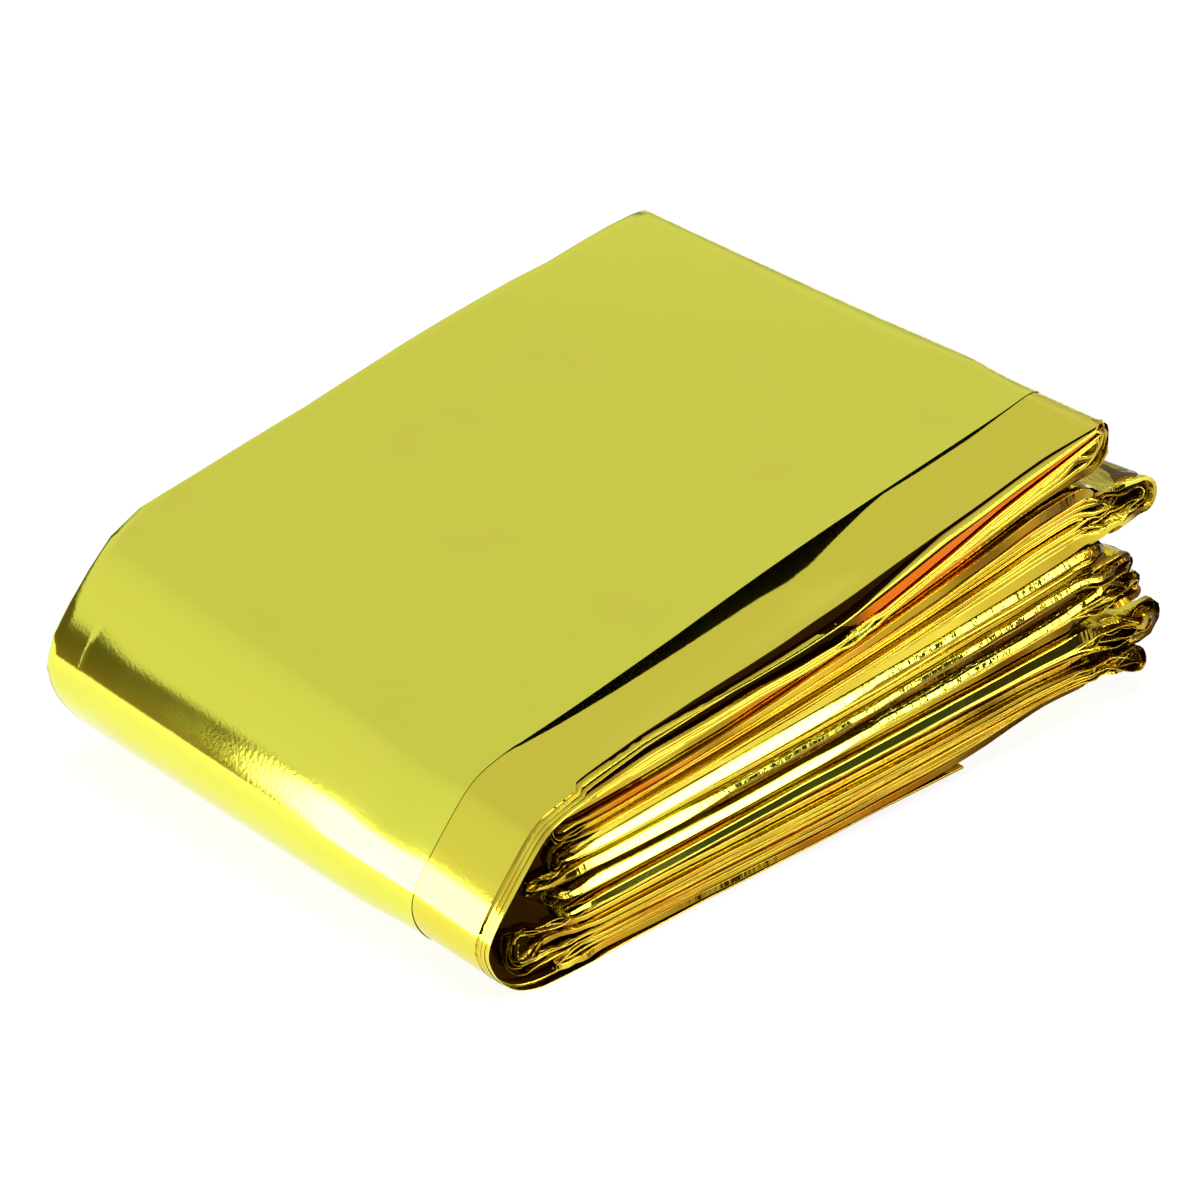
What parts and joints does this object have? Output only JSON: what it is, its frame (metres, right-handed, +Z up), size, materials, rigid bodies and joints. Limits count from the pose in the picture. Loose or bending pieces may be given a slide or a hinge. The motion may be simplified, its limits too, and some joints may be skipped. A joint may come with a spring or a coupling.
{
  "type": "emergency foil blanket",
  "caption": "Folded gold foil rescue blanket: one thin metallised film sheet, pleated and laid back and forth into a fanned packet.",
  "frame": {"origin": "centre of the packet's box, at its underside", "axes": "+X from the rounded nose to the fanned fold ends, -Y towards the side where the layers show, +Z up"},
  "size_m": [0.1506, 0.1024, 0.0554],
  "materials": {
    "gold_film": "mirror-bright metallised plastic film, gold"
  },
  "bodies": {
    "root": {"blanket": "gold_film"}
  },
  "joints": []
}
